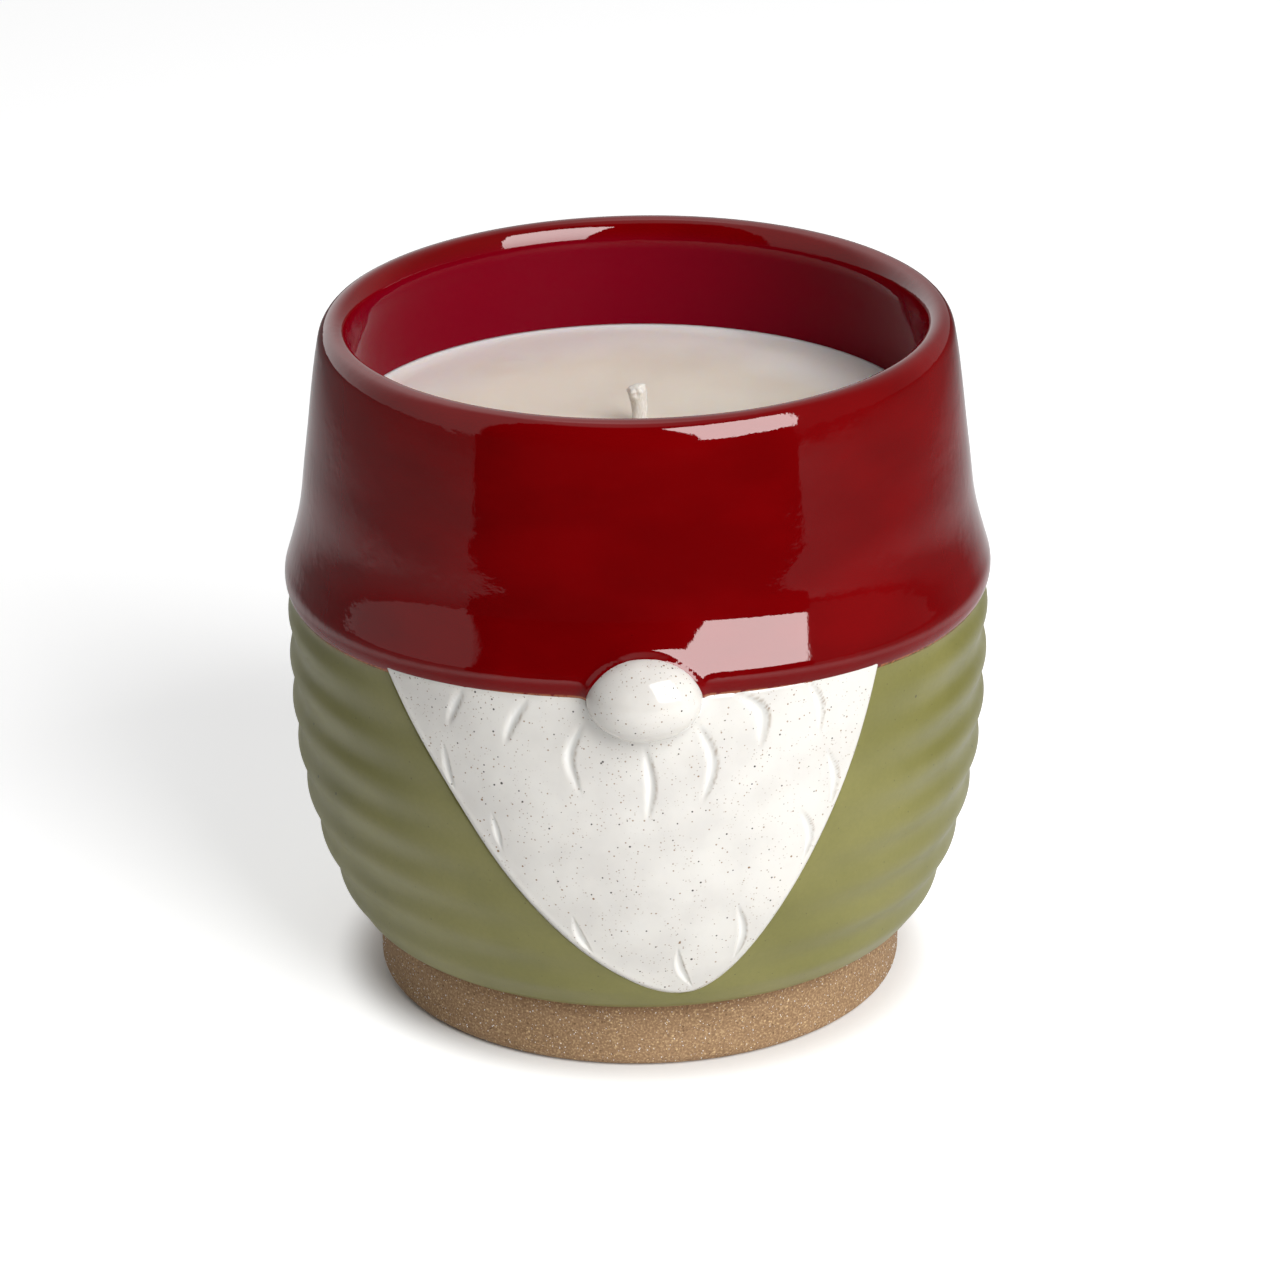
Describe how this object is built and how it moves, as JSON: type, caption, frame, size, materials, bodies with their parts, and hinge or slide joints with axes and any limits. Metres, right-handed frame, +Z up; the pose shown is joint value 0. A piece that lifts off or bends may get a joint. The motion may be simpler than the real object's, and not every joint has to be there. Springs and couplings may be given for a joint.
{
  "type": "gnome candle pot",
  "caption": "Gnome-shaped stoneware candle pot: red flared hat wall with a round lip, relief beard and nose on a ribbed green bowl, bare clay foot, wax fill and wick.",
  "frame": {"origin": "on the pot's turning axis, at the underside of its foot, where it rests", "axes": "+Z up along the turning axis, the gnome's nose faces -Y, and +X is to the viewer's right from the front"},
  "size_m": [0.1, 0.1055, 0.099],
  "materials": {
    "bare_stoneware": "matte",
    "clay_body": "matte",
    "green_glaze": "satin",
    "red_glaze": "gloss",
    "white_glaze": "gloss",
    "candle_wax": "satin",
    "wick_cotton": "matte",
    "tab_metal": "satin",
    "sticker": "matte"
  },
  "bodies": {
    "root": {"foot": "bare_stoneware", "bowl": "clay_body", "hat": "clay_body", "beard": "clay_body", "nose": "clay_body", "body_glaze": "green_glaze", "hat_glaze": "red_glaze", "inner_glaze": "red_glaze", "beard_glaze": "white_glaze", "nose_glaze": "white_glaze", "wax": "candle_wax", "wick": "wick_cotton", "wick_tab": "tab_metal", "wick_sticker": "sticker"}
  },
  "joints": []
}
